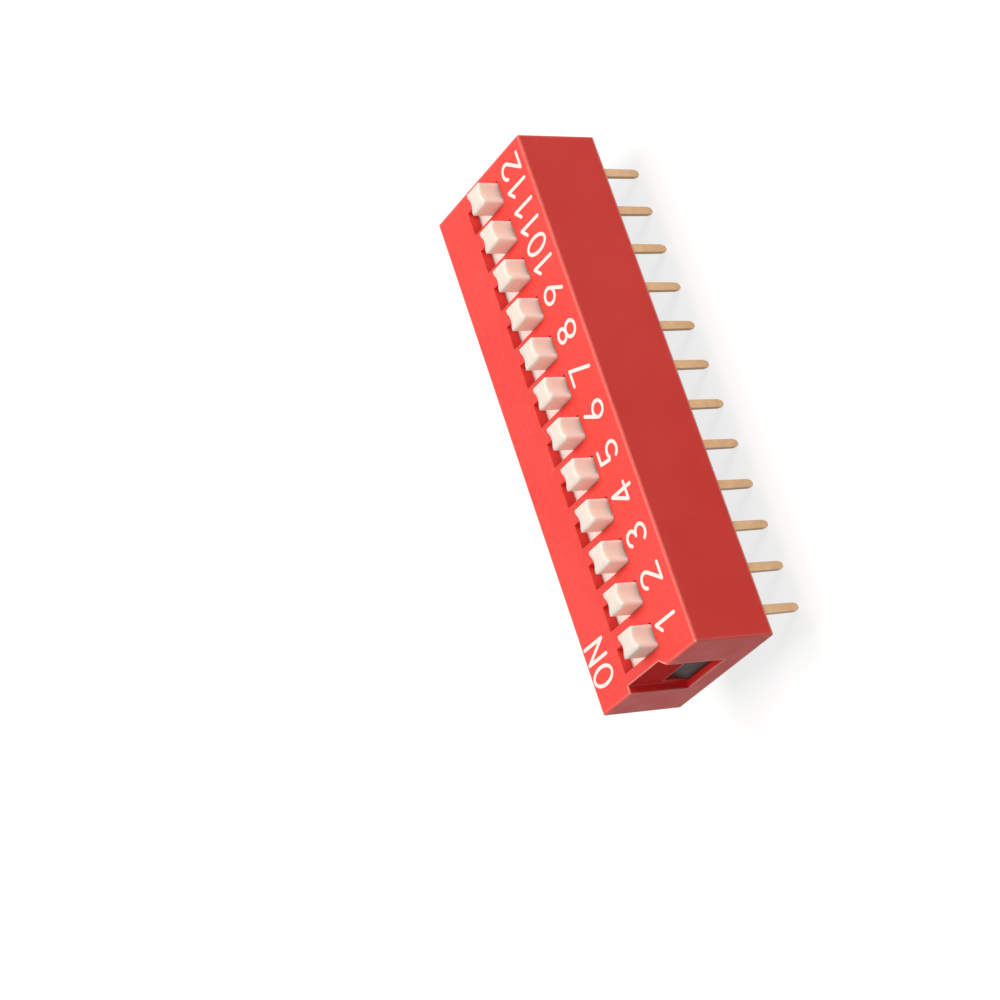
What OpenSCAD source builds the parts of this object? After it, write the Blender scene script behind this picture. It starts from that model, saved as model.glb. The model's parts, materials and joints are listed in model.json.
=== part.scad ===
// Twelve-position slide DIP switch with raised actuators.
//
// The seating plane is z = 0 and the origin is the middle of the pin grid. +X runs from
// position 1 to position 12, +Y is the ON side, +Z is out of the top face.
// Every actuator is drawn in its OFF place, against the -Y end of its slot.
// The notch that marks position 1 is in the -X end.

/* [Switch] */
// Number of switches in the row
positions = 12; // [2:1:12]
// Distance between neighbouring switches and between neighbouring pins
pitch = 2.54; // [2.2:0.01:3.2]
// Distance between the two rows of pins
row_spacing = 7.62; // [7.4:0.01:10.16]

/* [Cover] */
// Distance from each row of pins to the side of the cover beyond it
row_margin = 0.99; // [0.9:0.01:1.5]
// Height of the cover from its rim to its top face
cover_h = 5.25; // [5:0.05:7]
// Plastic left beyond the pocket of the first and of the last switch
end_wall = 0.78; // [0.75:0.01:1.2]
// Thickness of the top, through which the slots are cut
roof_t = 0.65; // [0.5:0.05:0.9]
// Thickness of the long side walls
side_wall = 0.4; // [0.3:0.05:0.6]
// Thickness of the end walls round the sealing compound
rim_wall = 0.45; // [0.3:0.05:0.7]
// Height of the thin part of the end walls, from the rim to the step that seats the base
rim_step_h = 1.0; // [0.8:0.05:1.2]
// Thickness of the ribs that part neighbouring sliders
rib_t = 0.34; // [0.2:0.02:0.5]
// Rounding of the moulded outer edges
edge_r = 0.12; // [0.05:0.01:0.2]

/* [End notch] */
// Half width of the back of the notch that marks position 1
notch_half_w = 1.85; // [1.4:0.01:2]
// How much wider each side of the notch is at the outer face
notch_flare = 0.04; // [0.02:0.01:0.3]
// Depth of the notch
notch_depth = 0.5; // [0.3:0.01:0.6]
// Height of the notch's sill above the rim
sill_h = 1.3; // [1.25:0.05:1.6]
// Height of the window in the back of the notch
window_h = 1.7; // [1.2:0.05:1.8]
// Plastic left in the back of the notch at each side of the window
window_margin = 0.23; // [0.05:0.01:0.3]
// Length of the gusset that fills the number-side corner of the notch above the window
gusset_l = 0.55; // [0.3:0.05:0.8]

/* [Slots and actuators] */
// Width of a slot in the top
slot_w = 1.46; // [1.1:0.02:1.6]
// Length of a slot in the top
slot_l = 3.5; // [2.9:0.05:3.8]
// Gap between an actuator and each side of its slot
slot_gap = 0.05; // [0.02:0.01:0.1]
// Length of an actuator along its slot
knob_l = 1.55; // [1.3:0.05:1.9]
// Height of an actuator above the top face
knob_h = 1.34; // [0.4:0.02:1.6]
// How much lower an actuator is on its ON side than on its OFF side
knob_fall = 0.08; // [0:0.02:0.3]
// Depth of the finger scoops in an actuator's two pushed faces
scoop_depth = 0.25; // [0.05:0.01:0.3]
// Width of the land left at each side of a scoop
scoop_land = 0.17; // [0.1:0.01:0.3]
// How far the top of a scoop opens out, and how far down that reaches
scoop_flare = 0.12; // [0.05:0.01:0.13]
// Rounding of an actuator's upright corners and of the top edges of its pushed faces
knob_r = 0.16; // [0.14:0.01:0.2]
// Size of the slope that eases the other two top edges of an actuator
knob_ease = 0.1; // [0.05:0.01:0.2]

/* [Slider] */
// Thickness of the plate that closes the slot from below
plate_t = 0.5; // [0.4:0.05:0.7]
// Length by which the plate passes the slot's end at either limit
plate_lap = 0.22; // [0.1:0.02:0.4]
// Gap under the top, and between the plate and the ribs beside it
plate_gap = 0.05; // [0.03:0.01:0.1]
// Thickness of the two cheeks that hold the moving contact
cheek_t = 0.22; // [0.15:0.01:0.25]
// Length by which the cheeks pass the feet of the moving contact
cheek_lap = 0.3; // [0.25:0.01:0.5]
// Gap between the cheeks and the contact floor
cheek_gap = 0.43; // [0.3:0.01:0.6]
// Diameter of the post that pins the moving contact
post_d = 0.4; // [0.3:0.02:0.5]
// Height of the post's riveted head
post_head_h = 0.12; // [0.08:0.01:0.2]
// How much wider the post's head is than the post, all round
post_head_lap = 0.11; // [0.05:0.01:0.15]

/* [Base] */
// Distance by which the base's feet stand below the cover's rim
standoff = 0.25; // [0.1:0.05:0.4]
// Room left for the sliders between the contact floor and the top
room_h = 1.6; // [1.4:0.05:1.8]
// Gap between the base and the cover round it
base_gap = 0.05; // [0.02:0.01:0.1]
// Half width of the dam that keeps the sealing compound out of the middle
dam_half_w = 1.82; // [1.6:0.02:2.4]
// Distance from the last pin to the end of the dam, towards the middle
dam_end = 1.37; // [1:0.01:2]
// Thickness of the dam
dam_t = 0.24; // [0.2:0.02:0.3]
// Half distance between the two rails inside the dam
rail_half_gap = 0.75; // [0.6:0.05:0.8]
// Thickness of each rail
rail_t = 0.24; // [0.2:0.02:0.3]
// Depth of the narrow grooves beside the rails
groove_depth = 0.65; // [0.4:0.05:0.8]
// Depth of the channel between the rails
channel_depth = 1.4; // [0.9:0.05:1.8]
// How far the latch nose stands out past the back of the notch
nose_reach = 0.1; // [0.05:0.01:0.2]
// Height of the upright lip under the slope of the latch nose
nose_lip_h = 0.11; // [0.05:0.01:0.3]
// How much farther back the top of the latch nose is than its lip
nose_lean = 0.33; // [0.2:0.01:0.4]
// Gap between the latch nose and the sides and top of the window
nose_gap = 0.08; // [0.03:0.01:0.2]

/* [Contacts] */
// Thickness of the stamped terminals
terminal_t = 0.25; // [0.2:0.01:0.3]
// Width of a terminal's contact pad and of its leg inside the base
pad_w = 0.9; // [0.6:0.05:1]
// Width of a pin
pin_w = 0.52; // [0.4:0.02:0.6]
// Length of a pin below the seating plane
pin_l = 2.95; // [2.5:0.05:3.5]
// Length of the gently tapered part of a pin
pin_taper_l = 2.07; // [1:0.01:2.2]
// Width of a pin where its rounded point begins
pin_shoulder_w = 0.48; // [0.4:0.01:0.52]
// Length of a pin's rounded point
pin_point_l = 0.35; // [0.3:0.05:0.8]
// Radius of the tip of a pin
pin_tip_r = 0.2; // [0.1:0.01:0.2]
// Thickness to which a pin is coined at its tip
pin_tip_t = 0.16; // [0.1:0.01:0.2]
// Length over which a pin is coined
pin_coin_l = 0.3; // [0.2:0.05:0.6]
// Half distance between a moving contact's two feet
foot_reach = 1.35; // [1.3:0.01:1.7]
// Radius of a foot, to the middle of the strip
foot_r = 0.16; // [0.12:0.01:0.2]
// Length of the flat middle of a moving contact
spring_flat_l = 0.96; // [0.7:0.02:1.2]
// Distance along the floor from a foot in its OFF place to the ON pad
off_gap = 0.425; // [0.2:0.005:0.6]
// Length by which the number-side pad passes a foot at its limit
pad_lap = 0.275; // [0.2:0.005:0.3]
// Thickness of a moving contact's spring strip
spring_t = 0.12; // [0.08:0.01:0.15]
// Width of a moving contact's spring strip
spring_w = 0.82; // [0.6:0.02:0.86]
// Width of the slit that parts each arm of a moving contact into two fingers
slit_w = 0.12; // [0.08:0.01:0.2]
// Distance from the middle of a moving contact to the root of each slit
slit_root = 0.62; // [0.5:0.02:0.9]
// Gap between a moving contact and the cheeks and post that hold it
spring_gap = 0.03; // [0.02:0.01:0.05]
// Running gap between the moving contacts and the floor
contact_gap = 0.03; // [0.02:0.01:0.06]

/* [Sealing compound] */
// Distance by which the sealing compound stops short of the cover's rim
seal_recess = 0.1; // [0.05:0.05:0.2]
// Thickness of the sealing compound
seal_t = 0.5; // [0.3:0.05:0.6]

/* [Hidden] */
$fn = 32;
// past a cut face, so that no skin is left
eps = 0.05;

// ---- heights ----
rim_z = standoff;
top_z = rim_z + cover_h;
roof_z = top_z - roof_t;
step_z = rim_z + rim_step_h;
sill_z = rim_z + sill_h;
floor_z = roof_z - room_h;
seal_z = rim_z + seal_recess;
underside_z = seal_z + seal_t;
plate_top_z = roof_z - plate_gap;
plate_z = plate_top_z - plate_t;

// ---- plan ----
row_half = pitch * (positions - 1) / 2;
row_y = row_spacing / 2;
pocket_w = pitch - rib_t;
chamber_half_l = row_half + pocket_w / 2;
cover_half_l = chamber_half_l + end_wall;
cover_half_w = row_y + row_margin;
chamber_half_w = cover_half_w - side_wall;
rim_half_l = cover_half_l - rim_wall;
notch_back = cover_half_l - notch_depth;
dam_half_l = row_half - dam_end;

// ---- slider ----
travel = slot_l - knob_l - 2 * slot_gap;
off_y = -travel / 2;
knob_w = slot_w - 2 * slot_gap;
plate_w = pocket_w - 2 * plate_gap;
plate_half_l = slot_l / 2 + plate_lap + travel / 2;
plate_r = 0.2;
cheek_half_w = spring_w / 2 + spring_gap + cheek_t;
cheek_half_l = foot_reach + cheek_lap;
cheek_z = floor_z + cheek_gap;
post_z = plate_z - spring_t - post_head_h;

// ---- contacts ----
spring_z = plate_z - spring_t / 2;
foot_z = floor_z + contact_gap + spring_t / 2 + foot_r;
on_end = off_y + foot_reach + off_gap;
common_end = off_y + foot_reach - pad_lap;

function unit(v) = v / norm(v);
function left_of(v) = [-v.y, v.x];
function x_of(i) = pitch * (i - (positions + 1) / 2);
function label(i) = str(i < 10 ? "0" : "", i);
function slider_name(i) = str("slider_", label(i));
function spring_name(i) = str("moving_contact_", label(i));
function on_name(i) = str("on_terminal_", label(i));
function common_name(i) = str("common_terminal_", label(i));

red = [0.86, 0.16, 0.14];
black = [0.10, 0.09, 0.09];
resin = [0.22, 0.18, 0.15];
ivory = [0.95, 0.90, 0.84];
gold = [0.85, 0.66, 0.33];

// ---- shared shapes ----

// A rectangle in the first two axes, centred on x, from y = 0 up, with its two top corners rounded
module crown_rect(w, h, r) {
    translate([-w / 2, 0]) square([w, h - r]);
    translate([-w / 2 + r, 0]) square([w - 2 * r, h]);
    for (side = [-1, 1])
        translate([side * (w / 2 - r), h - r]) circle(r);
}

// A centred rectangle with four rounded corners
module round_rect(l, w, r) {
    square([l - 2 * r, w], center = true);
    square([l, w - 2 * r], center = true);
    for (x = [-1, 1], y = [-1, 1])
        translate([x * (l / 2 - r), y * (w / 2 - r)]) circle(r);
}

// A box between two heights, centred in plan
module slab(half_l, half_w, z0, z1) {
    translate([-half_l, -half_w, z0]) cube([2 * half_l, 2 * half_w, z1 - z0]);
}

// A profile drawn in (y, z), extruded along x and centred
module along_x(w) {
    rotate([90, 0, 90]) translate([0, 0, -w / 2]) linear_extrude(w) children();
}

// A profile drawn in (x, z), extruded along y and centred
module along_y(l) {
    rotate([90, 0, 0]) translate([0, 0, -l / 2]) linear_extrude(l) children();
}

// ---- cover ----

module cover_body() {
    l = 2 * cover_half_l;
    w = 2 * cover_half_w;
    translate([0, 0, rim_z])
        intersection() {
            linear_extrude(cover_h) round_rect(l, w, edge_r);
            along_x(l) crown_rect(w, cover_h, edge_r);
            along_y(w) crown_rect(l, cover_h, edge_r);
        }
}

// The notch in the -X end, and the window through its back
module end_notch() {
    mouth_half_w = notch_half_w + notch_flare;
    window_half_w = notch_half_w - window_margin;
    difference() {
        translate([0, 0, sill_z])
            linear_extrude(cover_h)
                polygon([
                    [-notch_back, -notch_half_w],
                    [-cover_half_l, -mouth_half_w],
                    [-cover_half_l - eps, -mouth_half_w],
                    [-cover_half_l - eps, mouth_half_w],
                    [-cover_half_l, mouth_half_w],
                    [-notch_back, notch_half_w],
                ]);
        translate([0, 0, sill_z + window_h])
            linear_extrude(cover_h)
                polygon([
                    [-notch_back + eps, -notch_half_w + gusset_l],
                    [-notch_back, -notch_half_w + gusset_l],
                    [-cover_half_l, -mouth_half_w],
                    [-notch_back + eps, -mouth_half_w],
                ]);
    }
    translate([-cover_half_l, -window_half_w, sill_z])
        cube([end_wall + eps, 2 * window_half_w, window_h]);
}

module cover() {
    color(red) {
        difference() {
            cover_body();
            slab(rim_half_l, chamber_half_w, rim_z - eps, step_z);
            slab(chamber_half_l, chamber_half_w, rim_z, roof_z);
            for (i = [1:positions])
                translate([x_of(i) - slot_w / 2, -slot_l / 2, roof_z - eps])
                    cube([slot_w, slot_l, roof_t + 2 * eps]);
            end_notch();
        }
        for (i = [1:positions - 1])
            translate([x_of(i + 0.5) - rib_t / 2, -chamber_half_w, floor_z])
                cube([rib_t, 2 * chamber_half_w, roof_z - floor_z]);
    }
}

// ---- base ----

// The wedge that snaps into the window at the -X end
module latch_nose() {
    face = -chamber_half_l + base_gap;
    tip = -notch_back - nose_reach;
    low = sill_z + base_gap;
    high = sill_z + window_h - nose_gap;
    along_y(2 * (notch_half_w - window_margin - nose_gap))
        polygon([
            [face + eps, low],
            [tip, low],
            [tip, low + nose_lip_h],
            [tip + nose_lean, high],
            [face + eps, high],
        ]);
}

module base() {
    block_half_l = chamber_half_l - base_gap;
    block_half_w = chamber_half_w - base_gap;
    color(black)
        difference() {
            union() {
                slab(rim_half_l - base_gap, block_half_w, underside_z, step_z);
                slab(block_half_l, block_half_w, step_z - eps, floor_z);
                slab(dam_half_l, dam_half_w, 0, underside_z + eps);
                latch_nose();
            }
            underside_channel();
            for (i = [1:positions]) {
                terminal_seat(i, on_end);
                mirror([0, 1, 0]) terminal_seat(i, common_end);
            }
        }
}

// The channel between the rails, and the groove on the outer side of each rail
module underside_channel() {
    inner_half_l = dam_half_l - dam_t;
    groove_w = dam_half_w - dam_t - rail_half_gap - rail_t;
    slab(inner_half_l, rail_half_gap, -eps, channel_depth);
    for (side = [-1, 1])
        translate([0, side * (rail_half_gap + rail_t + groove_w / 2), 0])
            slab(inner_half_l, groove_w / 2, -eps, groove_depth);
}

// What a terminal fills inside the base: its pad, flush with the floor, and its leg
module terminal_seat(i, inner_end) {
    translate([x_of(i) - pad_w / 2, inner_end, floor_z - terminal_t])
        cube([pad_w, row_y + terminal_t / 2 - inner_end, terminal_t + eps]);
    translate([x_of(i) - pad_w / 2, row_y - terminal_t / 2, underside_z - eps])
        cube([pad_w, terminal_t, floor_z - underside_z + 2 * eps]);
}

// ---- terminals ----

// The side view of a terminal in (y, z): the pad, the bend and the leg
module terminal_profile(inner_end) {
    bend_r = terminal_t;
    outer = row_y + terminal_t / 2;
    difference() {
        union() {
            translate([inner_end, floor_z - terminal_t]) square([outer - inner_end, terminal_t]);
            translate([row_y - terminal_t / 2, underside_z])
                square([terminal_t, floor_z - underside_z]);
        }
        difference() {
            translate([outer - bend_r, floor_z - bend_r]) square(bend_r + eps);
            translate([outer - bend_r, floor_z - bend_r]) circle(bend_r);
        }
    }
}

// The front view of a pin in (x, z), with its tapered sides and rounded tip
module pin_outline() {
    half = pin_w / 2;
    shoulder = pin_shoulder_w / 2;
    polygon([
        [-half, underside_z],
        [-half, pin_taper_l - pin_l],
        [-shoulder, pin_point_l - pin_l],
        [-pin_tip_r, pin_tip_r - pin_l],
        [pin_tip_r, pin_tip_r - pin_l],
        [shoulder, pin_point_l - pin_l],
        [half, pin_taper_l - pin_l],
        [half, underside_z],
    ]);
    translate([0, pin_tip_r - pin_l]) circle(pin_tip_r);
}

// The side view of a pin in (y, z), coined thinner at its tip
module pin_edge() {
    half = terminal_t / 2;
    tip = pin_tip_t / 2;
    polygon([
        [-half, underside_z],
        [-half, pin_coin_l - pin_l],
        [-tip, -pin_l],
        [tip, -pin_l],
        [half, pin_coin_l - pin_l],
        [half, underside_z],
    ]);
}

// A terminal on the +Y side of position i, with its pad ending at inner_end
module terminal(i, inner_end) {
    color(gold)
        translate([x_of(i), 0, 0]) {
            along_x(pad_w) terminal_profile(inner_end);
            translate([0, row_y, 0])
                intersection() {
                    along_y(2 * terminal_t) pin_outline();
                    along_x(2 * pin_w) pin_edge();
                }
        }
}

module on_terminal(i) {
    terminal(i, on_end);
}

module common_terminal(i) {
    mirror([0, 1, 0]) terminal(i, common_end);
}

// ---- sealing compound ----

module seal() {
    color(resin)
        difference() {
            slab(rim_half_l, chamber_half_w, seal_z, underside_z);
            slab(dam_half_l, dam_half_w, seal_z - eps, underside_z + eps);
            for (i = [1:positions], side = [-1, 1])
                translate([x_of(i) - pin_w / 2, side * row_y - terminal_t / 2, seal_z - eps])
                    cube([pin_w, terminal_t, seal_t + 2 * eps]);
        }
}

// ---- slider ----

// The round cutter of a finger scoop, opening out towards the top of the actuator
module scoop() {
    chord = knob_w / 2 - scoop_land;
    r = (chord * chord + scoop_depth * scoop_depth) / (2 * scoop_depth);
    rise = top_z + knob_h - plate_z;
    translate([0, knob_l / 2 - scoop_depth + r, plate_z])
        rotate_extrude()
            difference() {
                square([r + scoop_flare, rise + eps]);
                translate([r, 0]) square([scoop_flare + eps, rise - scoop_flare]);
                translate([r + scoop_flare, rise - scoop_flare]) circle(scoop_flare);
            }
}

// Side view of an actuator in (y, z): its top falls towards the ON side
module knob_side() {
    high = [-knob_l / 2 + knob_r, top_z + knob_h - knob_r];
    low = [knob_l / 2 - knob_r, top_z + knob_h - knob_fall - knob_r];
    lift = knob_r * left_of(unit(low - high));
    polygon([
        [-knob_l / 2, plate_z],
        [-knob_l / 2, high.y],
        high + lift,
        low + lift,
        [knob_l / 2, low.y],
        [knob_l / 2, plate_z],
    ]);
    for (p = [high, low])
        translate(p) circle(knob_r);
}

// End view of an actuator in (x, z), with its top edges eased
module knob_end() {
    half = knob_w / 2;
    top = top_z + knob_h;
    polygon([
        [-half, plate_z],
        [-half, top - knob_ease],
        [-half + knob_ease, top],
        [half - knob_ease, top],
        [half, top - knob_ease],
        [half, plate_z],
    ]);
}

module slider(i) {
    color(ivory)
        translate([x_of(i), off_y, 0]) {
            translate([0, 0, plate_z])
                linear_extrude(plate_t) round_rect(plate_w, 2 * plate_half_l, plate_r);
            difference() {
                intersection() {
                    translate([0, 0, plate_z])
                        linear_extrude(cover_h) round_rect(knob_w, knob_l, knob_r);
                    along_x(pitch) knob_side();
                    along_y(slot_l) knob_end();
                }
                scoop();
                mirror([0, 1, 0]) scoop();
            }
            for (side = [-1, 1])
                translate([side * (cheek_half_w - cheek_t / 2), 0, 0])
                    slab(cheek_t / 2, cheek_half_l, cheek_z, plate_z + eps);
            translate([0, 0, post_z]) {
                cylinder(d = post_d, h = plate_z - post_z + eps);
                cylinder(d = post_d + 2 * post_head_lap, h = post_head_h);
            }
        }
}

// ---- moving contact ----

// Half of the strip's middle line: flat, sloping down, round the foot and up again
slope_end_a = -45;
function foot_point(a) = [foot_reach + foot_r * sin(a), foot_z - foot_r * cos(a)];
half_line = concat(
    [[0, spring_z], [spring_flat_l / 2, spring_z]],
    [for (a = [slope_end_a:15:60]) foot_point(a)]
);
full_line = concat(
    [for (k = [len(half_line) - 1:-1:1]) [-half_line[k].x, half_line[k].y]],
    half_line
);
// The normal at point k of a line, shared by the two stretches that meet there
function normal_at(line, k) =
    let (
        before = k > 0 ? unit(line[k] - line[k - 1]) : unit(line[1] - line[0]),
        after = k < len(line) - 1 ? unit(line[k + 1] - line[k]) : before,
        n = unit(left_of(before) + left_of(after))
    )
    n / (n * left_of(after));

// A strip of thickness t along a line
module strip(line, t) {
    polygon(concat(
        [for (k = [0:len(line) - 1]) line[k] + normal_at(line, k) * t / 2],
        [for (k = [len(line) - 1:-1:0]) line[k] - normal_at(line, k) * t / 2]
    ));
}

module moving_contact(i) {
    color(gold)
        translate([x_of(i), off_y, 0])
            difference() {
                along_x(spring_w) strip(full_line, spring_t);
                translate([0, 0, post_z]) cylinder(d = post_d + 2 * spring_gap, h = room_h);
                for (side = [-1, 1])
                    translate([0, side * (slit_root + foot_reach / 2), floor_z])
                        slab(slit_w / 2, foot_reach / 2, 0, room_h);
            }
}

cover();
base();
seal();
for (i = [1:positions]) {
    slider(i);
    moving_contact(i);
    on_terminal(i);
    common_terminal(i);
}
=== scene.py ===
import json
import math

import bpy
from mathutils import Matrix, Vector, noise


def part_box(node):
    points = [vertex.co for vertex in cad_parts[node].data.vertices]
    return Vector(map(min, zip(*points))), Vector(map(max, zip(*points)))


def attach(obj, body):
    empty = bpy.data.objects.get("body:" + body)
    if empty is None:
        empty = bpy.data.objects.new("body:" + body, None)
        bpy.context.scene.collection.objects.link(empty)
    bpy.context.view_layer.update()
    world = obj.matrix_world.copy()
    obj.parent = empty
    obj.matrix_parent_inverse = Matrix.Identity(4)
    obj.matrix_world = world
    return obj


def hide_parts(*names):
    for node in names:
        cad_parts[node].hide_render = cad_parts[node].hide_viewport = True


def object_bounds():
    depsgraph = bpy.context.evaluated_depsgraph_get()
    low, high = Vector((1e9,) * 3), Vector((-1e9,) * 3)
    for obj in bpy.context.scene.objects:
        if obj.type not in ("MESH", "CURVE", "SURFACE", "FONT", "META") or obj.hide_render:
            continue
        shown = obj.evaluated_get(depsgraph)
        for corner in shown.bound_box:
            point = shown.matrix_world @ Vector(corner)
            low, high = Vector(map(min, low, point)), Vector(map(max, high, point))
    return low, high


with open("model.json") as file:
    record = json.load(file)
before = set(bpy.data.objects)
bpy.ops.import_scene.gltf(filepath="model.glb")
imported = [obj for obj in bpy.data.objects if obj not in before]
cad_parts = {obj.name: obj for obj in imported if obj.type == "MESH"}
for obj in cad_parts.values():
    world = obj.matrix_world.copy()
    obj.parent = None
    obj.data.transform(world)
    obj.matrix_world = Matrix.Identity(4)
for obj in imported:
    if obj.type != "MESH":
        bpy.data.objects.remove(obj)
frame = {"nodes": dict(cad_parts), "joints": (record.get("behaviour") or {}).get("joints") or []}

cad_low, cad_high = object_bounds()

# Looks of the twelve-position DIP switch. The CAD nodes keep their meshes and get materials;
# the sealing resin replaces its plain CAD node, and the printing is added on the top face.
# +X runs from position 1 to position 12, +Y is the ON side, +Z is up.

MM = 0.001
HOUSING = "housing"

# ---- sizes taken from the frame, in metres ----
COVER_LOW, COVER_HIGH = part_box("cover")
SEAL_LOW, SEAL_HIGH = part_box("seal")
TOP_Z = COVER_HIGH.z
RIM_Z = COVER_LOW.z
FLOOR_Z = cad_low.z
POSITIONS = len(frame["joints"])

# ---- sizes that the frame doesn't give, from the part's source, with the notch a hair wider ----
NOTCH_DEPTH = 0.5 * MM
NOTCH_HALF_W = 1.92 * MM
NOTCH_SILL = RIM_Z + 1.3 * MM
PIN_W = 0.52 * MM
PIN_T = 0.25 * MM
DAM_HALF_L = 12.6 * MM
DAM_HALF_W = 1.82 * MM


# ---- short calls for shader nodes ----
EDGE_SAMPLES = 6


class Nodes:
    """A node tree whose nodes are added by short calls."""

    def __init__(self, tree):
        self.tree = tree

    def node(self, kind, links=None, **settings):
        """Adds a node, with its settings and with links or values for its inputs."""
        made = self.tree.nodes.new("ShaderNode" + kind)
        for name, value in settings.items():
            setattr(made, name, value)
        for socket, value in (links or {}).items():
            self.join(made.inputs[socket], value)
        return made

    def join(self, socket, value):
        if isinstance(value, bpy.types.NodeSocket):
            self.tree.links.new(value, socket)
        else:
            socket.default_value = value

    def calculate(self, operation, first, second=0.0):
        return self.node("Math", {0: first, 1: second}, operation=operation).outputs[0]

    def product(self, first, second):
        return self.calculate("MULTIPLY", first, second)

    def total(self, first, second):
        return self.calculate("ADD", first, second)

    def larger(self, first, second):
        return self.calculate("MAXIMUM", first, second)

    def size_of(self, value):
        return self.calculate("ABSOLUTE", value)

    def seen_sharply(self):
        """1 for the camera, reflections and clear views through, 0 for light on the object."""
        rays = self.node("LightPath").outputs
        mirrored = self.larger(rays["Is Camera Ray"], rays["Is Glossy Ray"])
        return self.larger(mirrored, rays["Is Transmission Ray"])


class Material(Nodes):
    """A principled material."""

    def __init__(self, name):
        self.data = bpy.data.materials.new(name)
        self.data.use_nodes = True
        super().__init__(self.data.node_tree)
        self.shader = self.tree.nodes["Principled BSDF"]
        self.place = self.node("TexCoord").outputs["Object"]

    def surface(self, **inputs):
        """Sets or links inputs of the principled shader, by name with _ for a space."""
        for name, value in inputs.items():
            self.join(self.shader.inputs[name.replace("_", " ")], value)

    def noise(self, size, detail=2.0, roughness=0.5):
        """Noise from 0 to 1 whose patches are about size across."""
        return self.node(
            "TexNoise", {"Vector": self.place, "Scale": 1 / size, "Detail": detail, "Roughness": roughness}
        ).outputs["Fac"]

    def ramp(self, value, low, high, out_low=0.0, out_high=1.0):
        """Maps value from low..high to out_low..out_high, clamped."""
        return self.node(
            "MapRange",
            {"Value": value, "From Min": low, "From Max": high, "To Min": out_low, "To Max": out_high},
        ).outputs["Result"]

    def mix(self, amount, first, second):
        """First where amount is 0, second where it is 1; works on colours and on normals."""
        made = self.node("Mix", data_type="RGBA")
        self.join(made.inputs["Factor"], amount)
        self.join(made.inputs[6], first)
        self.join(made.inputs[7], second)
        return made.outputs[2]

    def bevel(self, radius):
        """A normal that rounds edges within radius."""
        return self.node("Bevel", {"Radius": radius}, samples=EDGE_SAMPLES).outputs["Normal"]

    def rounded(self, radius, texture, depth):
        """A normal that rounds the edges, with a fine texture on top."""
        inputs = {"Height": texture, "Distance": depth, "Normal": self.bevel(radius)}
        return self.node("Bump", inputs).outputs["Normal"]

    def openness(self, reach):
        """1 on an open face, less inside a recess about reach deep."""
        return self.node("AmbientOcclusion", {"Distance": reach}, samples=EDGE_SAMPLES).outputs["AO"]

    def edges(self, radius, opening):
        """1 along outer edges within radius, 0 on flat faces and in recesses."""
        normals = {0: self.bevel(radius), 1: self.face_normal()}
        turned = self.node("VectorMath", normals, operation="DOT_PRODUCT").outputs["Value"]
        edge = self.ramp(turned, 0.995, 0.93)
        return self.product(edge, self.ramp(opening, 0.55, 0.85))

    def between(self, value, low, high):
        """1 where value lies between low and high, with a thin soft border."""
        soft = 0.01 * MM
        past_low = self.ramp(value, low - soft, low + soft)
        short_of_high = self.ramp(value, high - soft, high + soft, 1.0, 0.0)
        return self.product(past_low, short_of_high)

    def parts(self, vector):
        """The X, Y and Z of a vector."""
        return self.node("SeparateXYZ", {"Vector": vector}).outputs

    def face_normal(self):
        return self.node("NewGeometry").outputs["Normal"]

    def scatter(self, weight, radius, scale):
        """Light that passes into the plastic and comes out a little way off."""
        self.shader.inputs["Subsurface Weight"].default_value = weight
        self.shader.inputs["Subsurface Radius"].default_value = radius
        self.shader.inputs["Subsurface Scale"].default_value = scale


def rgb(r, g, b):
    return (r, g, b, 1.0)


def grey(level):
    return rgb(level, level, level)


# ---- materials ----


def notch_walls(m, along, across, up):
    """1 on the walls of the end notch, which the mould leaves rougher and which get a painted shade colour.
    """
    inside = m.between(along, COVER_LOW.x + 0.05 * MM, COVER_LOW.x + NOTCH_DEPTH + 0.02 * MM)
    inside = m.product(inside, m.between(across, -NOTCH_HALF_W, NOTCH_HALF_W))
    return m.product(inside, m.between(up, NOTCH_SILL - 0.02 * MM, TOP_Z - 0.03 * MM))


def near_outside(m, along, across):
    """1 close to the cover's four sides, where the painted edge highlight goes."""
    far_x = m.ramp(m.size_of(along), COVER_HIGH.x - 0.6 * MM, COVER_HIGH.x - 0.5 * MM)
    far_y = m.ramp(m.size_of(across), COVER_HIGH.y - 0.4 * MM, COVER_HIGH.y - 0.3 * MM)
    return m.larger(far_x, far_y)


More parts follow.
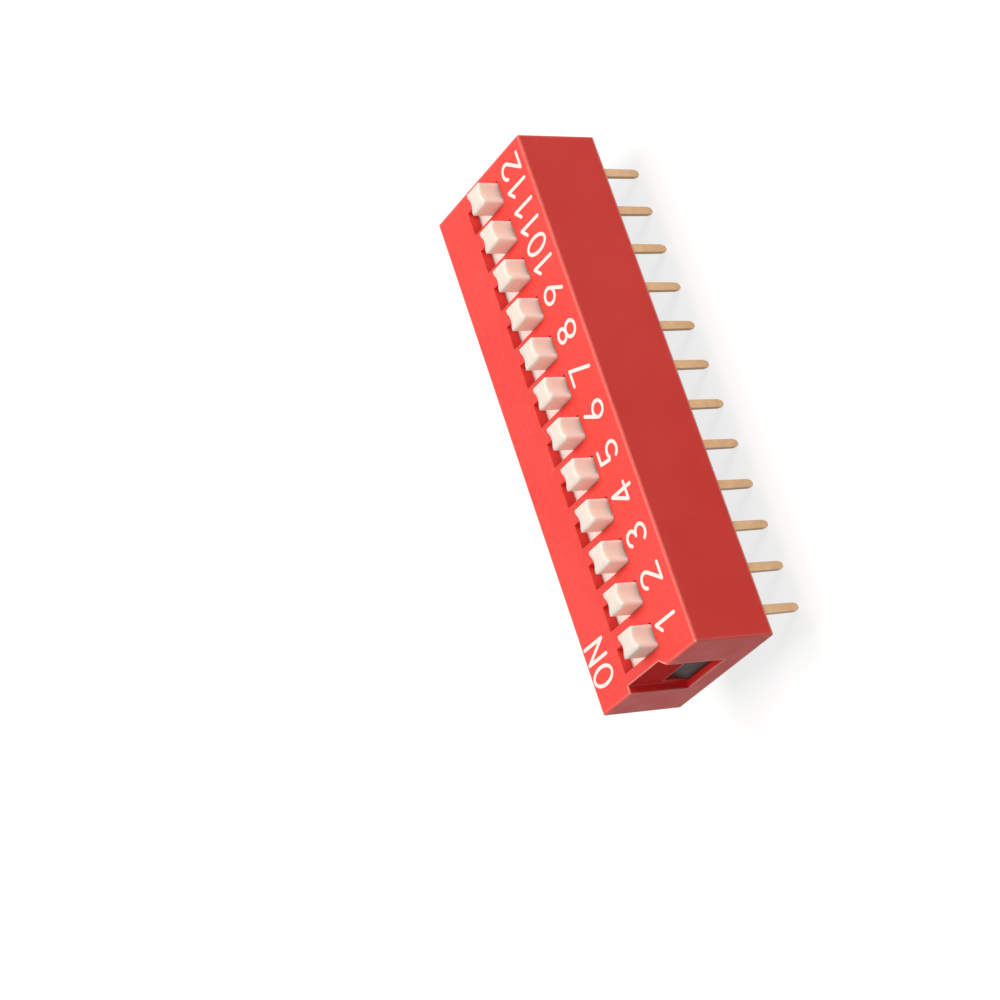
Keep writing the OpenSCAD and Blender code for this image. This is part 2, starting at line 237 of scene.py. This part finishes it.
def cover_plastic():
    """Red moulded plastic: cloudy and specked, with painted shade in recesses and a painted highlight on
    outer edges.
    """
    m = Material("cover_plastic")
    along, across, up = m.parts(m.place)
    opening = m.openness(1.1 * MM)
    notch = notch_walls(m, along, across, up)
    clouds = m.ramp(m.noise(5 * MM), 0.3, 0.7)
    specks = m.ramp(m.noise(0.16 * MM, detail=3), 0.6, 0.78, 0, 0.35)
    patches = m.ramp(m.noise(0.7 * MM, detail=4), 0.25, 0.6, 0.7, 1.0)
    patches = m.product(patches, near_outside(m, along, across))
    # Painted highlight: the outer edges near the sides are painted a pale pink in patches, standing in for
    # light caught on the rounded edges.
    painted_edge_highlight = m.product(m.edges(0.2 * MM, opening), patches)
    red = m.mix(clouds, rgb(0.765, 0.047, 0.036), rgb(0.815, 0.060, 0.047))
    # Painted shade: where the ambient occlusion finds a recess, the red is painted darker.
    red = m.mix(m.ramp(opening, 0.7, 0.3), red, rgb(0.68, 0.016, 0.016))
    # Painted shade: the notch walls get their own deeper red, set for how light falls inside the notch.
    red = m.mix(notch, red, rgb(0.79, 0.025, 0.026))
    red = m.mix(specks, red, rgb(0.95, 0.22, 0.18))
    grain = m.ramp(m.noise(1.4 * MM, detail=4), 0.3, 0.7, 0.42, 0.52)
    matt = m.total(m.product(notch, 0.45), m.ramp(opening, 0.85, 0.4, 0.0, 0.3))
    m.surface(
        Base_Color=m.mix(painted_edge_highlight, red, rgb(0.98, 0.46, 0.38)),
        Roughness=m.total(grain, matt),
        IOR=1.5,
        Normal=m.rounded(0.07 * MM, m.noise(0.09 * MM, detail=3), 0.0035 * MM),
    )
    m.shader.inputs["Specular IOR Level"].default_value = 0.26
    m.scatter(0.12, (1.0, 0.2, 0.15), 0.4 * MM)
    return m.data


def actuator_plastic():
    """Ivory plastic that light passes into, with painted shade on its tops and painted light on its sides
    and slot plate.
    """
    m = Material("actuator_plastic")
    clouds = m.ramp(m.noise(0.8 * MM), 0.3, 0.7, 0.97, 1.0)
    height = m.parts(m.place)["Z"]
    facing_up = m.parts(m.face_normal())["Z"]
    # Painted shade and light: faces that look up are painted darker and side faces lighter, evening out how
    # the light falls.
    pale = m.mix(m.ramp(facing_up, 0.55, 0.95), rgb(1.0, 0.86, 0.74), rgb(0.775, 0.648, 0.548))
    # Painted light: the plate down in the slots, which lies in shade, is painted lighter.
    pale = m.mix(m.ramp(height, TOP_Z - 0.2 * MM, TOP_Z - 0.4 * MM), pale, rgb(0.98, 0.83, 0.73))
    cloudy = m.node("VectorMath", {0: pale, "Scale": clouds}, operation="SCALE").outputs["Vector"]
    above_slot = m.ramp(height, TOP_Z + 0.1 * MM, TOP_Z + 0.6 * MM)
    soft_edged = m.rounded(0.4 * MM, m.noise(0.12 * MM, detail=3), 0.003 * MM)
    m.surface(
        Base_Color=cloudy,
        Roughness=m.ramp(m.noise(0.5 * MM, detail=4), 0.3, 0.7, 0.44, 0.54),
        IOR=1.5,
        Normal=m.mix(above_slot, m.face_normal(), soft_edged),
    )
    m.shader.inputs["Sheen Weight"].default_value = 0.6
    m.shader.inputs["Sheen Roughness"].default_value = 0.7
    m.scatter(0.85, (1.0, 0.95, 0.9), 0.5 * MM)
    return m.data


def base_plastic():
    """Black glass-filled plastic, slightly brown."""
    m = Material("base_plastic")
    clouds = m.ramp(m.noise(0.9 * MM, detail=3), 0.3, 0.7)
    m.surface(
        Base_Color=m.mix(clouds, rgb(0.030, 0.012, 0.010), rgb(0.042, 0.019, 0.016)),
        Roughness=m.ramp(m.noise(0.6 * MM, detail=4), 0.3, 0.7, 0.36, 0.5),
        IOR=1.5,
        Normal=m.rounded(0.04 * MM, m.noise(0.10 * MM, detail=3), 0.004 * MM),
    )
    m.shader.inputs["Specular IOR Level"].default_value = 0.3
    return m.data


def terminal_metal():
    """Gold-coloured plating with drawing lines, darker towards the body, dark on sheared edges."""
    m = Material("terminal_metal")
    height = m.parts(m.place)["Z"]
    tint = m.ramp(m.noise(0.5 * MM, detail=4), 0.3, 0.7)
    gold = m.mix(tint, rgb(0.64, 0.39, 0.205), rgb(0.72, 0.465, 0.268))
    # The plating turns darker brown towards the body.
    darker_near_body = m.ramp(height, RIM_Z - 1.1 * MM, RIM_Z, 0.0, 0.7)
    drawn = m.node("Mapping", {"Vector": m.place, "Scale": (1, 1, 0.06)}).outputs["Vector"]
    lines = m.node("TexNoise", {"Vector": drawn, "Scale": 1 / (0.05 * MM), "Detail": 3}).outputs["Fac"]
    facing_along = m.parts(m.face_normal())["X"]
    sheared = m.ramp(m.size_of(facing_along), 0.75, 0.95, 0.0, 0.75)
    plating = m.mix(darker_near_body, gold, rgb(0.50, 0.25, 0.09))
    m.surface(
        Base_Color=m.mix(sheared, plating, rgb(0.26, 0.15, 0.075)),
        Metallic=1.0,
        Roughness=m.ramp(lines, 0.3, 0.7, 0.30, 0.44),
        Normal=m.rounded(0.04 * MM, lines, 0.0025 * MM),
    )
    return m.data


def contact_strip():
    """Bright spring strip inside the switch."""
    m = Material("contact_strip")
    tint = m.ramp(m.noise(0.4 * MM, detail=4), 0.3, 0.7)
    m.surface(
        Base_Color=m.mix(tint, rgb(0.78, 0.54, 0.26), rgb(0.84, 0.62, 0.33)),
        Metallic=1.0,
        Roughness=m.ramp(m.noise(0.2 * MM, detail=4), 0.3, 0.7, 0.22, 0.34),
        Normal=m.bevel(0.03 * MM),
    )
    return m.data


def sealing_resin():
    """Dark resin with a glossy, uneven skin."""
    m = Material("sealing_resin")
    clouds = m.ramp(m.noise(1.6 * MM, detail=4), 0.3, 0.7)
    m.surface(
        Base_Color=m.mix(clouds, rgb(0.030, 0.022, 0.018), rgb(0.052, 0.040, 0.032)),
        Roughness=m.ramp(m.noise(0.7 * MM, detail=5), 0.3, 0.7, 0.16, 0.34),
        IOR=1.55,
        Normal=m.rounded(0.03 * MM, m.noise(0.35 * MM, detail=5), 0.012 * MM),
    )
    return m.data


def marking_ink():
    """White ink that the red shows through where it is worn."""
    m = Material("marking_ink")
    worn = m.ramp(m.noise(0.10 * MM, detail=4), 0.58, 0.75, 0.0, 0.35)
    m.surface(
        Base_Color=m.mix(worn, rgb(0.92, 0.73, 0.68), rgb(0.90, 0.45, 0.39)),
        Roughness=m.ramp(m.noise(0.2 * MM, detail=3), 0.3, 0.7, 0.5, 0.65),
        Normal=m.rounded(0.01 * MM, m.noise(0.05 * MM, detail=3), 0.002 * MM),
    )
    return m.data


MATERIALS = {
    "cover": cover_plastic(),
    "base": base_plastic(),
    "slider": actuator_plastic(),
    "moving_contact": contact_strip(),
    "on_terminal": terminal_metal(),
    "seal": sealing_resin(),
}
MATERIALS["common_terminal"] = MATERIALS["on_terminal"]
INK = marking_ink()


def finish_nodes():
    for name, piece in frame["nodes"].items():
        kind = name.rstrip("0123456789").rstrip("_")
        piece.data.materials.clear()
        piece.data.materials.append(MATERIALS[kind])


finish_nodes()

# ---- sealing resin, poured in upside down: it wets every wall and pin that it touches ----
GRID = 0.14 * MM
CLIMB = 0.13 * MM
CLIMB_REACH = 0.16 * MM
WALL_CLIMB = 0.6
SKIN_SINK = 0.07 * MM
WAVE, WAVE_SIZE = 0.045 * MM, 1.5 * MM
RIPPLE, RIPPLE_SIZE = 0.012 * MM, 0.45 * MM


def pin_rects():
    """Each pin where it passes through the resin, as (x0, x1, y0, y1)."""
    rects = []
    for i in range(1, POSITIONS + 1):
        for side in ("on", "common"):
            low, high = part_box(f"{side}_terminal_{i:02d}")
            x = (low.x + high.x) / 2
            y0 = high.y - PIN_T if side == "on" else low.y
            rects.append((x - PIN_W / 2, x + PIN_W / 2, y0, y0 + PIN_T))
    return rects


def ticks(stops):
    """Grid lines about GRID apart that pass through every stop."""
    stops = sorted(set(round(v, 7) for v in stops))
    lines = [stops[0]]
    for a, b in zip(stops, stops[1:]):
        n = max(1, round((b - a) / GRID))
        lines += [a + (b - a) * k / n for k in range(1, n + 1)]
    return lines


def outside(x, y, rect):
    """Distance from a point to a rectangle, 0 inside it."""
    return math.hypot(max(rect[0] - x, x - rect[1], 0), max(rect[2] - y, y - rect[3], 0))


def make_resin():
    """The resin as one closed solid on a grid, with holes for the pins and the dam."""
    pins = pin_rects()
    dam = (-DAM_HALF_L, DAM_HALF_L, -DAM_HALF_W, DAM_HALF_W)
    holes = pins + [dam]
    xs = ticks([SEAL_LOW.x, SEAL_HIGH.x] + [v for r in holes for v in r[:2]])
    ys = ticks([SEAL_LOW.y, SEAL_HIGH.y] + [v for r in holes for v in r[2:]])

    def kept(a, b):
        """Whether resin fills this cell of the grid."""
        if not (0 <= a < len(xs) - 1 and 0 <= b < len(ys) - 1):
            return False
        x, y = (xs[a] + xs[a + 1]) / 2, (ys[b] + ys[b + 1]) / 2
        return all(outside(x, y, r) > 0 for r in holes)

    def skin(x, y):
        """Height of the skin, which climbs the pins and, less, the walls and the dam."""
        walls = min(x - SEAL_LOW.x, SEAL_HIGH.x - x, y - SEAL_LOW.y, SEAL_HIGH.y - y)
        edge = max(min(walls, outside(x, y, dam)), 0)
        pin = min(outside(x, y, r) for r in pins)
        wave = WAVE * noise.noise(Vector((x, y, 0)) / WAVE_SIZE)
        ripple = RIPPLE * noise.noise(Vector((x, y, 3 * MM)) / RIPPLE_SIZE)
        rise = CLIMB * (math.exp(-pin / CLIMB_REACH) + WALL_CLIMB * math.exp(-edge / CLIMB_REACH))
        return SEAL_LOW.z + SKIN_SINK + wave + ripple - rise

    verts, faces, index = [], [], {}

    def vert(a, b, top):
        key = (a, b, top)
        if key not in index:
            index[key] = len(verts)
            verts.append((xs[a], ys[b], SEAL_HIGH.z if top else skin(xs[a], ys[b])))
        return index[key]

    for a in range(len(xs) - 1):
        for b in range(len(ys) - 1):
            if not kept(a, b):
                continue
            corners = ((a, b), (a + 1, b), (a + 1, b + 1), (a, b + 1))
            faces.append([vert(*c, True) for c in corners])
            faces.append([vert(*c, False) for c in corners][::-1])
            beyond = ((a, b - 1), (a + 1, b), (a, b + 1), (a - 1, b))
            for k, next_cell in enumerate(beyond):
                if not kept(*next_cell):
                    p, q = corners[k], corners[(k + 1) % 4]
                    faces.append([vert(*p, False), vert(*q, False), vert(*q, True), vert(*p, True)])
    mesh = bpy.data.meshes.new("resin")
    mesh.from_pydata(verts, [], faces)
    mesh.materials.append(MATERIALS["seal"])
    for face in mesh.polygons:
        face.use_smooth = abs(face.normal.z) >= 0.3
    piece = bpy.data.objects.new("resin", mesh)
    bpy.context.scene.collection.objects.link(piece)
    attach(piece, HOUSING)
    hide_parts("seal")


make_resin()

# ---- printing: strokes in millimetres, x from the middle of the sign, y from its foot ----
CAP_H = 2.0
STROKE_W = 0.21
INK_T = 0.012
INK_SINK = 0.004
STROKE_LIFT = 0.001
CAP_STEPS = 8
ARC_STEP = math.radians(8)
HALF_STROKE = STROKE_W / 2
UP = CAP_H - HALF_STROKE
DOWN = HALF_STROKE


def arc(cx, cy, rx, ry, start, end):
    """Points on an ellipse from start to end degrees."""
    first, last = math.radians(start), math.radians(end)
    steps = max(2, math.ceil(abs(last - first) / ARC_STEP))
    angles = [first + (last - first) * k / steps for k in range(steps + 1)]
    return [(cx + rx * math.cos(a), cy + ry * math.sin(a)) for a in angles]


def ring(cx, cy, rx, ry):
    return arc(cx, cy, rx, ry, 90, 450)


SIGNS = {
    "0": [ring(0, 1.0, 0.44, UP - 1.0)],
    "1": [[(0.05, DOWN), (0.05, UP)], [(0.05, UP), (-0.40, UP - 0.40)]],
    "2": [arc(0, 1.42, 0.44, 0.44, 165, -38) + [(-0.46, DOWN)], [(-0.46, DOWN), (0.5, DOWN)]],
    "3": [arc(-0.02, 1.44, 0.40, 0.42, 155, -90), arc(-0.02, 0.58, 0.46, 0.44, 90, -155)],
    "4": [[(0.18, UP), (-0.50, 0.60)], [(-0.50, 0.60), (0.52, 0.60)], [(0.18, UP), (0.18, DOWN)]],
    "5": [[(0.38, UP), (-0.32, UP)], [(-0.32, UP), (-0.42, 1.06)], arc(-0.02, 0.62, 0.46, 0.47, 128, -150)],
    "6": [ring(0, 0.62, 0.45, 0.47), [(0.16, UP), (-0.38, 0.88)]],
    "7": [[(-0.46, UP), (0.46, UP)], [(0.46, UP), (-0.12, DOWN)]],
    "8": [ring(0, 1.46, 0.38, 0.38), ring(0, 0.60, 0.45, 0.46)],
    "9": [ring(0, 1.38, 0.45, 0.47), [(-0.16, DOWN), (0.38, 1.12)]],
    "O": [ring(0, 1.0, 0.50, UP - 1.0)],
    "N": [[(-0.46, DOWN), (-0.46, UP)], [(-0.46, UP), (0.46, DOWN)], [(0.46, DOWN), (0.46, UP)]],
}


def side_of(line, k):
    """Sideways unit vector at point k of a line, shared by the two stretches that meet there."""
    before = Vector(line[k]) - Vector(line[k - 1]) if k else Vector(line[1]) - Vector(line[0])
    after = Vector(line[k + 1]) - Vector(line[k]) if k < len(line) - 1 else before
    mean = before.normalized() + after.normalized()
    return Vector((-mean.y, mean.x)).normalized()


def outline(line):
    """Outline of a stroke with round ends, or the two outlines of a closed one."""
    closed = (Vector(line[0]) - Vector(line[-1])).length < 1e-6
    left, right = [], []
    for k, point in enumerate(line):
        side = side_of(line, k) * HALF_STROKE
        left.append(Vector(point) + side)
        right.append(Vector(point) - side)
    if closed:
        return left, right, True
    caps = []
    for end, other in ((-1, -2), (0, 1)):
        way = Vector(line[end]) - Vector(line[other])
        turn = math.atan2(way.y, way.x)
        angles = [turn + math.pi / 2 - math.pi * s / CAP_STEPS for s in range(1, CAP_STEPS)]
        caps.append([Vector(line[end]) + HALF_STROKE * Vector((math.cos(a), math.sin(a))) for a in angles])
    return left + caps[0] + right[::-1] + caps[1], None, False


def add_stroke(verts, faces, line, place, foot):
    """Adds one stroke as a thin closed solid standing on foot."""
    loop, inner, closed = outline(line)
    levels = (foot, foot + INK_T)

    def put(points):
        first = len(verts)
        for z in levels:
            verts.extend(place(p, z) for p in points)
        return first, len(points)

    if not closed:
        first, n = put(loop)
        faces.append([first + k for k in range(n)][::-1])
        faces.append([first + n + k for k in range(n)])
        for k in range(n):
            j = (k + 1) % n
            faces.append([first + k, first + j, first + n + j, first + n + k])
        return
    outer_first, n = put(loop[:-1])
    inner_first, _ = put(inner[:-1])
    for k in range(n):
        j = (k + 1) % n
        o, i = outer_first, inner_first
        faces.append([o + k, o + n + k, o + n + j, o + j])
        faces.append([i + k, i + j, i + n + j, i + n + k])
        faces.append([o + n + k, i + n + k, i + n + j, o + n + j])
        faces.append([o + k, o + j, i + j, i + k])


# The print is turned a little on the cover, as in the photograph.
PRINT_TURN = math.radians(-0.53)


def print_sign(name, text, x, y, step=1.20):
    """Prints text on the top face, its middle at x and its foot at y, in millimetres.

    Each stroke stands a hair higher than the last, so that crossing strokes share no face.
    """
    verts, faces = [], []
    turn = Matrix.Rotation(PRINT_TURN, 2)
    lift = 0
    for k, sign in enumerate(text):
        offset = Vector((x + (k - (len(text) - 1) / 2) * step, y))

        def place(point, z, offset=offset):
            flat = turn @ (point + offset)
            return (flat.x * MM, flat.y * MM, TOP_Z + z * MM)

        for line in SIGNS[sign]:
            add_stroke(verts, faces, line, place, STROKE_LIFT * lift - INK_SINK)
            lift += 1
    mesh = bpy.data.meshes.new(name)
    mesh.from_pydata(verts, [], faces)
    mesh.materials.append(INK)
    mesh.validate()
    piece = bpy.data.objects.new(name, mesh)
    bpy.context.scene.collection.objects.link(piece)
    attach(piece, HOUSING)


# Places of the signs, in millimetres; the numbers are printed at a slightly short pitch.
NUMBER_FOOT = -4.14
NUMBER_FIRST = -13.67
NUMBER_STEP = 2.515
ON_PLACE = (-13.25, 2.5)
ON_STEP = 1.45
for i in range(1, POSITIONS + 1):
    print_sign(f"number_{i:02d}", str(i), NUMBER_FIRST + NUMBER_STEP * (i - 1), NUMBER_FOOT)
print_sign("on_mark", "ON", *ON_PLACE, step=ON_STEP)


# ---- stage, light and camera ----
FLOOR_HALF = 1.5
FLOOR_GLOW = 0.76
FLOOR_SHADE = 0.27
FLOOR_BOUNCE = 0.16
SKY_COLOUR = (1, 0.98, 0.92)
SKY_STRENGTH = 0.44
SKY_SHOWN = 0.875
WHITE = (1, 1, 1)

# Place and size in metres, power in watts
SOFTBOXES = {
    "overhead": ((0.05, 0.03, 0.40), 0.30, 1.23),
    "front": ((0.14, -0.32, 0.17), 0.16, 0.54),
}

# The camera fitted to the photograph: place in millimetres, directions as unit vectors
CAMERA_PLACE = (-60.77, -116.06, 98.20)
CAMERA_RIGHT = (-0.2938, -0.4786, -0.8274)
CAMERA_AHEAD = (0.3608, 0.7461, -0.5596)
CAMERA_LENS = 103.78
SENSOR_W = 36


def add_floor():
    """A pale floor: it looks white to the camera and in reflections, and keeps the shadow."""
    corners = [(FLOOR_HALF * x, FLOOR_HALF * y) for x, y in ((-1, -1), (1, -1), (1, 1), (-1, 1))]
    mesh = bpy.data.meshes.new("floor")
    mesh.from_pydata([(x, y, FLOOR_Z) for x, y in corners], [], [(0, 1, 2, 3)])
    floor = bpy.data.objects.new("floor", mesh)
    bpy.context.scene.collection.objects.link(floor)
    m = Material("floor")
    dull = m.node("BsdfDiffuse", {"Color": grey(FLOOR_BOUNCE)}).outputs[0]
    glow = m.node("Emission", {"Color": rgb(*WHITE), "Strength": FLOOR_GLOW}).outputs[0]
    pale = m.node("BsdfDiffuse", {"Color": grey(FLOOR_SHADE)}).outputs[0]
    seen = m.node("AddShader", {0: pale, 1: glow}).outputs[0]
    shown = m.node("MixShader", {0: m.seen_sharply(), 1: dull, 2: seen}).outputs[0]
    m.join(m.tree.nodes["Material Output"].inputs["Surface"], shown)
    mesh.materials.append(m.data)


def add_world():
    """Even soft light from all round, shown to the camera and in reflections as a white backdrop."""
    world = bpy.data.worlds.new("studio")
    bpy.context.scene.world = world
    world.use_nodes = True
    n = Nodes(world.node_tree)
    light = n.tree.nodes["Background"]
    n.join(light.inputs["Color"], rgb(*SKY_COLOUR))
    n.join(light.inputs["Strength"], SKY_STRENGTH)
    white = n.node("Background", {"Color": rgb(*WHITE), "Strength": SKY_SHOWN}).outputs[0]
    mixed = n.node("MixShader", {0: n.seen_sharply(), 1: light.outputs[0], 2: white}).outputs[0]
    n.join(n.tree.nodes["World Output"].inputs["Surface"], mixed)


def add_softbox(name, place, size, power):
    """A round lamp that points at the switch."""
    lamp = bpy.data.lights.new(name, "AREA")
    lamp.shape = "DISK"
    lamp.size = size
    lamp.energy = power
    box = bpy.data.objects.new(name, lamp)
    box.location = place
    box.rotation_mode = "QUATERNION"
    box.rotation_quaternion = (-Vector(place)).to_track_quat("-Z", "Y")
    bpy.context.scene.collection.objects.link(box)


def add_camera():
    data = bpy.data.cameras.new("camera")
    data.sensor_width = SENSOR_W
    data.lens = CAMERA_LENS
    data.clip_start = 0.005
    data.clip_end = 10
    camera = bpy.data.objects.new("camera", data)
    ahead = Vector(CAMERA_AHEAD).normalized()
    up = Vector(CAMERA_RIGHT).cross(ahead).normalized()
    right = ahead.cross(up)
    turn = Matrix((right, up, -ahead)).transposed().to_4x4()
    turn.translation = Vector(CAMERA_PLACE) * MM
    camera.matrix_world = turn
    bpy.context.scene.collection.objects.link(camera)
    bpy.context.scene.camera = camera


add_floor()
add_world()
for name, (place, size, power) in SOFTBOXES.items():
    add_softbox(name, place, size, power)
add_camera()
bpy.context.scene.view_settings.view_transform = "Standard"
